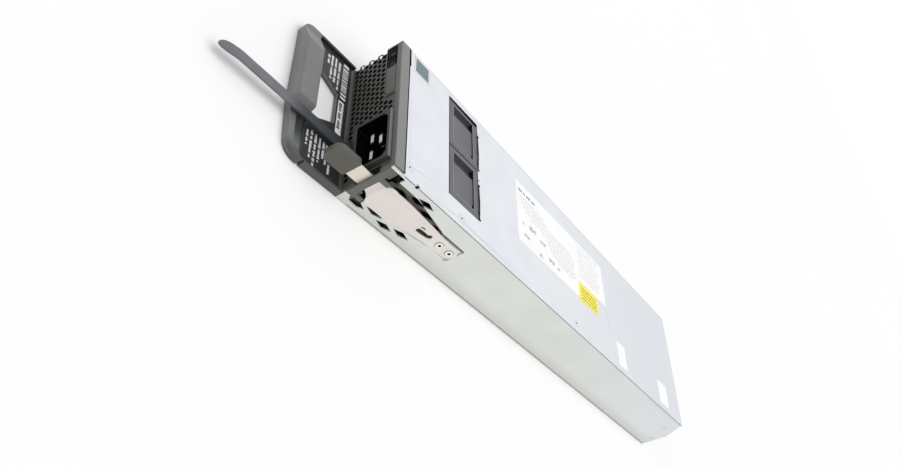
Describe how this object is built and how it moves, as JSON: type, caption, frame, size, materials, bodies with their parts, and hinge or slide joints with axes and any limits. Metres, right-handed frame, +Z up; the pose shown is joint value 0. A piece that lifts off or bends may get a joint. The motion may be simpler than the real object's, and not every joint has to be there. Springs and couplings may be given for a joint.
{
  "type": "hot swap server power supply",
  "caption": "Long flat power supply that slides into a server bay, with a carrying handle, sprung side latch, cord strap, honeycomb front, fans and an AC inlet.",
  "frame": {"origin": "middle of the floor's front edge, on the floor's outer face", "axes": "+X across the housing towards the latch side, +Y from the front face to the rear connector, +Z up from the floor to the cover"},
  "size_m": [0.1026, 0.4668, 0.04],
  "materials": {
    "sheet_steel": "bright zinc-plated sheet, satin",
    "cover_steel": "bright zinc-plated sheet, satin",
    "screw_steel": "bright plated",
    "spring_steel": "satin stainless spring strip",
    "dark_plastic": "fine-textured moulding",
    "grille_plastic": "fine-textured moulding",
    "black_plastic": "satin moulding",
    "handle_plastic": "fine-textured moulding",
    "pad_plastic": "satin moulding",
    "strap_nylon": "satin nylon",
    "lamp_plastic": "smoked, glossy",
    "fan_plastic": "matt moulding",
    "rotor_plastic": "matt moulding",
    "copper": "bare or enamelled copper",
    "brass": "machined",
    "tin_plate": "bright plated",
    "board_laminate": "green solder mask",
    "liner_film": "thin fibre film",
    "yellow_plastic": "film capacitor case",
    "ferrite": "sintered, matt",
    "fuse_ceramic": "glazed tube",
    "relay_plastic": "moulded case",
    "can_sleeve": "shrunk sleeve over an aluminium can",
    "sink_aluminium": "extruded",
    "package_epoxy": "moulded epoxy",
    "connector_plastic": "moulded",
    "wire_brown": "insulated wire",
    "wire_blue": "insulated wire",
    "wire_green": "insulated wire",
    "wire_yellow": "insulated wire",
    "wire_red": "insulated wire"
  },
  "bodies": {
    "housing": {"base_tray": "sheet_steel", "top_cover": "cover_steel", "cover_screws": "screw_steel", "front_bezel": "dark_plastic", "lamp_windows": "lamp_plastic", "lamp_board": "board_laminate", "front_grille": "grille_plastic", "ac_inlet": "black_plastic", "inlet_contacts": "tin_plate", "handle": "handle_plastic", "handle_screws": "screw_steel", "latch_spring_foot": "spring_steel", "latch_rivets": "screw_steel", "strap_root": "strap_nylon", "main_board": "board_laminate", "filter_board": "board_laminate", "board_standoffs": "brass", "board_screws": "screw_steel", "floor_liner": "liner_film", "filter_capacitors": "yellow_plastic", "filter_choke_core": "ferrite", "filter_choke_winding": "copper", "line_fuse": "fuse_ceramic", "bridge_rectifier": "package_epoxy", "inrush_relay": "relay_plastic", "boost_choke_core": "ferrite", "boost_choke_winding": "copper", "bulk_capacitors": "can_sleeve", "boost_heat_sink": "sink_aluminium", "bridge_heat_sink": "sink_aluminium", "power_transistors": "package_epoxy", "transformer_core": "ferrite", "transformer_winding": "copper", "control_card": "board_laminate", "output_choke_core": "ferrite", "output_choke_winding": "copper", "output_capacitors": "can_sleeve", "output_bus_bars": "copper", "output_connector": "connector_plastic", "output_contacts": "brass", "lead_line": "wire_brown", "lead_neutral": "wire_blue", "lead_earth": "wire_green", "lamp_lead_yellow": "wire_yellow", "lamp_lead_red": "wire_red", "fan_frame_left": "fan_plastic", "fan_stator_left": "copper", "fan_bearings_left": "brass", "fan_frame_right": "fan_plastic", "fan_stator_right": "copper", "fan_bearings_right": "brass"},
    "latch": {"latch_spring": "spring_steel", "latch_thumb_pad": "pad_plastic"},
    "strap": {"cord_strap": "strap_nylon"},
    "rotor_left": {"fan_rotor_left": "rotor_plastic"},
    "rotor_right": {"fan_rotor_right": "rotor_plastic"}
  },
  "joints": [
    {"name": "latch_flex", "type": "hinge", "parent": "housing", "child": "latch", "pos_m": [0.0504, 0.058, 0.0197], "axis": [0, 0, -1], "range_deg": [0, 2.6], "stiffness_Nm_per_rad": 20},
    {"name": "strap_fold", "type": "hinge", "parent": "housing", "child": "strap", "pos_m": [0.0226, -0.00435, 0.0079], "axis": [-1, 0, 0], "range_deg": [0, 80]},
    {"name": "fan_spin_left", "type": "hinge", "parent": "housing", "child": "rotor_left", "pos_m": [-0.02482, 0.0607, 0.02], "axis": [0, 1, 0], "continuous": true},
    {"name": "fan_spin_right", "type": "hinge", "parent": "housing", "child": "rotor_right", "pos_m": [0.01548, 0.0607, 0.02], "axis": [0, 1, 0], "continuous": true}
  ]
}
